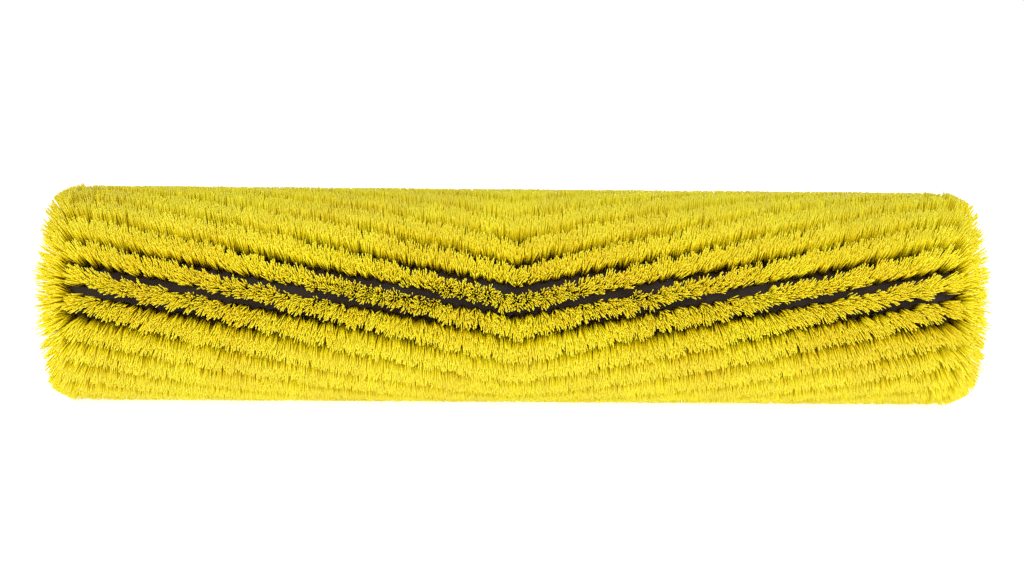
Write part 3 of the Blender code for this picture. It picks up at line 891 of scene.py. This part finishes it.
def floor_finish(colour, glow):
    """Pale painted board with a barely visible mottle."""
    material, tree, shader = new_finish("Pale floor", 0.0, 1.45)
    place = add_node(tree, "ShaderNodeTexCoord", -600, 0).outputs["Object"]
    mottle = add_noise(tree, -400, 0, place, 6.0, 4.0)
    tint = add_mix(tree, -100, 0, mottle, colour, tuple(part * 0.985 for part in colour))
    tree.links.new(tint, shader.inputs["Base Color"])
    shader.inputs["Roughness"].default_value = 0.9
    shader.inputs["Specular IOR Level"].default_value = 0.1
    shader.inputs["Emission Color"].default_value = (1.0, 1.0, 1.0, 1.0)
    shader.inputs["Emission Strength"].default_value = glow
    return material


def add_light(name, strength, width, direction):
    """A wide distant light that shines along a direction."""
    light = bpy.data.lights.new(name, "SUN")
    light.energy = strength
    light.angle = width
    lamp = bpy.data.objects.new(name, light)
    lamp.rotation_euler = Vector(direction).to_track_quat("-Z", "Y").to_euler()
    bpy.context.scene.collection.objects.link(lamp)


def add_camera(stage):
    """The camera, level with the brush but for a few degrees, with the brush across its view."""
    data = bpy.data.cameras.new("Camera")
    data.lens = stage.lens
    data.sensor_width = 36.0
    camera = bpy.data.objects.new("Camera", data)
    turn = Matrix.Rotation(stage.azimuth, 4, "Z")
    back = turn @ Vector((0, -math.cos(stage.elevation), math.sin(stage.elevation)))
    facing = (-back).to_track_quat("-Z", "Y").to_matrix().to_4x4()
    rolled = facing @ Matrix.Rotation(stage.roll, 4, "Z")
    camera.matrix_world = Matrix.Translation(Vector(stage.aim) + back * stage.distance) @ rolled
    bpy.context.scene.collection.objects.link(camera)
    bpy.context.scene.camera = camera


def set_surroundings(strength):
    """Even white light from all round, behind a backdrop that the camera sees as pure white."""
    world = bpy.data.worlds.new("Surroundings")
    world.use_nodes = True
    background = world.node_tree.nodes["Background"]
    background.inputs["Color"].default_value = (1.0, 1.0, 1.0, 1.0)
    background.inputs["Strength"].default_value = strength
    tree = world.node_tree
    backdrop = add_node(tree, "ShaderNodeBackground", 0, -200)
    backdrop.inputs["Color"].default_value = (1.0, 1.0, 1.0, 1.0)
    backdrop.inputs["Strength"].default_value = 1.0
    seen = add_node(tree, "ShaderNodeLightPath", 0, 300)
    choice = add_node(tree, "ShaderNodeMixShader", 250, 100)
    tree.links.new(seen.outputs["Is Camera Ray"], choice.inputs["Fac"])
    tree.links.new(background.outputs["Background"], choice.inputs[1])
    tree.links.new(backdrop.outputs["Background"], choice.inputs[2])
    tree.links.new(choice.outputs["Shader"], tree.nodes["World Output"].inputs["Surface"])
    bpy.context.scene.world = world


# Operators


class ROLLERBRUSH_OT_bristle_rows(bpy.types.Operator):
    """Build every V-shaped row of bristle tufts"""

    bl_idname = "rollerbrush.bristle_rows"
    bl_label = "Bristle rows"

    def execute(self, context):
        sizes = context.scene.rollerbrush_bristles
        material = bristle_finish(sizes)
        chance = random.Random(sizes.seed)
        strands = (strand_mesh(False), strand_mesh(True))
        tufts = []
        end_tufts = []
        for _ in range(sizes.tuft_kinds):
            tufts.append(tuft_mesh(sizes, strands, chance, sizes.tip_width, sizes.per_tuft))
            end_count = round(sizes.per_tuft * sizes.end_fullness)
            end_tufts.append(tuft_mesh(sizes, strands, chance, sizes.end_tip_width, end_count))
        for row, name in enumerate(ROW_NAMES):
            shape = row_shape(sizes, tufts, end_tufts, row, chance)
            piece_name = name.replace("tuft", "bristle")
            new_piece(piece_name, shape, material, "roller", [name])
        for mesh in (*strands, *tufts, *end_tufts):
            bpy.data.meshes.remove(mesh)
        return {"FINISHED"}


class ROLLERBRUSH_OT_core(bpy.types.Operator):
    """Finish the core tube"""

    bl_idname = "rollerbrush.core"
    bl_label = "Core tube"

    def execute(self, context):
        fittings = context.scene.rollerbrush_fittings
        colour = tuple(fittings.core_colour)
        material = moulded_finish(
            "Core plastic",
            colour,
            worn=(0.045, 0.036, 0.025),
            grain_scale=2200.0,
            depth=0.00006,
            dust=0.06,
            roughness=0.72,
        )
        rounded_piece("core_tube", material, fittings.edge_width)
        return {"FINISHED"}


class ROLLERBRUSH_OT_plugs(bpy.types.Operator):
    """Finish the drive plug and the idler plug"""

    bl_idname = "rollerbrush.plugs"
    bl_label = "End plugs"

    def execute(self, context):
        fittings = context.scene.rollerbrush_fittings
        colour = tuple(fittings.plug_colour)
        material = moulded_finish(
            "Plug nylon",
            colour,
            worn=(0.12, 0.12, 0.125),
            grain_scale=3000.0,
            depth=0.00005,
            dust=0.25,
            roughness=0.42,
        )
        for name in ("drive_plug", "idler_plug"):
            rounded_piece(name, material, fittings.edge_width)
        return {"FINISHED"}


class ROLLERBRUSH_OT_screws(bpy.types.Operator):
    """Finish the plated screws that hold the plugs"""

    bl_idname = "rollerbrush.screws"
    bl_label = "Plug screws"

    def execute(self, context):
        fittings = context.scene.rollerbrush_fittings
        colour = tuple(fittings.screw_colour)
        material = steel_finish("Plated screw steel", colour, (0.36, 0.33, 0.26), 4000.0, 0.32)
        for name in SCREW_NAMES:
            rounded_piece(name, material, fittings.edge_width * 0.5)
        return {"FINISHED"}


class ROLLERBRUSH_OT_bearing(bpy.types.Operator):
    """Finish the bearing's rings, balls, cage and seals"""

    bl_idname = "rollerbrush.bearing"
    bl_label = "Ball bearing"

    def execute(self, context):
        fittings = context.scene.rollerbrush_fittings
        steel = steel_finish(
            "Bearing steel",
            tuple(fittings.bearing_colour),
            stained=(0.40, 0.37, 0.30),
            rings=14000.0,
            roughness=0.20,
        )
        cage = moulded_finish(
            "Cage nylon",
            tuple(fittings.cage_colour),
            worn=(0.60, 0.44, 0.22),
            grain_scale=3000.0,
            depth=0.00003,
            dust=0.1,
            roughness=0.40,
        )
        rubber = moulded_finish(
            "Seal rubber",
            tuple(fittings.seal_colour),
            worn=(0.06, 0.06, 0.062),
            grain_scale=4500.0,
            depth=0.00004,
            dust=0.4,
            roughness=0.60,
        )
        for name in ("bearing_outer_ring", "bearing_inner_ring"):
            rounded_piece(name, steel, fittings.edge_width * 0.7)
        for name in BALL_NAMES:
            finished = name + "_finished"
            new_piece(finished, ball_shape(name), steel, "ball_set", [name])
        rounded_piece("bearing_cage", cage, fittings.edge_width * 0.4)
        for name in ("bearing_seal_inner", "bearing_seal_outer"):
            rounded_piece(name, rubber, fittings.edge_width * 0.5)
        return {"FINISHED"}


class ROLLERBRUSH_OT_axle(bpy.types.Operator):
    """Finish the stub axle"""

    bl_idname = "rollerbrush.axle"
    bl_label = "Stub axle"

    def execute(self, context):
        fittings = context.scene.rollerbrush_fittings
        colour = tuple(fittings.axle_colour)
        material = steel_finish("Axle steel", colour, (0.30, 0.24, 0.17), 6000.0, 0.30)
        rounded_piece("idler_axle", material, fittings.edge_width)
        return {"FINISHED"}


class ROLLERBRUSH_OT_clips(bpy.types.Operator):
    """Finish the two retaining rings"""

    bl_idname = "rollerbrush.clips"
    bl_label = "Retaining rings"

    def execute(self, context):
        fittings = context.scene.rollerbrush_fittings
        colour = tuple(fittings.clip_colour)
        material = steel_finish("Clip spring steel", colour, (0.16, 0.10, 0.06), 3000.0, 0.38)
        for name in ("bearing_clip", "axle_clip"):
            rounded_piece(name, material, fittings.edge_width * 0.6)
        return {"FINISHED"}


class ROLLERBRUSH_OT_stage(bpy.types.Operator):
    """Build the floor, the lights and the camera"""

    bl_idname = "rollerbrush.stage"
    bl_label = "Stage"

    def execute(self, context):
        stage = context.scene.rollerbrush_stage
        mesh = bpy.data.meshes.new("floor")
        shape = floor_shape(stage.floor_radius, CAD_BOUNDS[0].z)
        shape.to_mesh(mesh)
        shape.free()
        mesh.materials.append(floor_finish(tuple(stage.floor_colour), stage.floor_glow))
        floor = bpy.data.objects.new("floor", mesh)
        context.scene.collection.objects.link(floor)
        set_surroundings(stage.sky)
        add_light("Key light", stage.key, stage.light_width, KEY_DIRECTION)
        add_light("Fill light", stage.fill, stage.light_width, FILL_DIRECTION)
        add_camera(stage)
        context.scene.view_settings.view_transform = "Standard"
        return {"FINISHED"}


class VIEW3D_PT_rollerbrush(bpy.types.Panel):
    """Lists the brush's pieces and their sizes in the sidebar"""

    bl_label = "Roller Brush"
    bl_space_type = "VIEW_3D"
    bl_region_type = "UI"
    bl_category = "Roller Brush"

    def draw(self, context):
        for step in STEPS:
            self.layout.operator(step.bl_idname)
        for title, settings in (
            ("Bristles", context.scene.rollerbrush_bristles),
            ("Fittings", context.scene.rollerbrush_fittings),
            ("Stage", context.scene.rollerbrush_stage),
        ):
            box = self.layout.box()
            box.label(text=title)
            for name in settings.__annotations__:
                box.prop(settings, name)


STEPS = (
    ROLLERBRUSH_OT_bristle_rows,
    ROLLERBRUSH_OT_core,
    ROLLERBRUSH_OT_plugs,
    ROLLERBRUSH_OT_screws,
    ROLLERBRUSH_OT_bearing,
    ROLLERBRUSH_OT_axle,
    ROLLERBRUSH_OT_clips,
    ROLLERBRUSH_OT_stage,
)
CLASSES = (BristleSettings, FittingSettings, StageSettings, *STEPS, VIEW3D_PT_rollerbrush)


def register():
    """Adds the settings, the operators and the panel."""
    for each in CLASSES:
        bpy.utils.register_class(each)
    bpy.types.Scene.rollerbrush_bristles = PointerProperty(type=BristleSettings)
    bpy.types.Scene.rollerbrush_fittings = PointerProperty(type=FittingSettings)
    bpy.types.Scene.rollerbrush_stage = PointerProperty(type=StageSettings)


def unregister():
    """Removes the panel, the operators and the settings."""
    del bpy.types.Scene.rollerbrush_stage
    del bpy.types.Scene.rollerbrush_fittings
    del bpy.types.Scene.rollerbrush_bristles
    for each in reversed(CLASSES):
        bpy.utils.unregister_class(each)


def main():
    """Builds the brush and its stage in order."""
    register()
    bpy.ops.rollerbrush.bristle_rows()
    bpy.ops.rollerbrush.core()
    bpy.ops.rollerbrush.plugs()
    bpy.ops.rollerbrush.screws()
    bpy.ops.rollerbrush.bearing()
    bpy.ops.rollerbrush.axle()
    bpy.ops.rollerbrush.clips()
    bpy.ops.rollerbrush.stage()


if __name__ == "__main__":
    main()
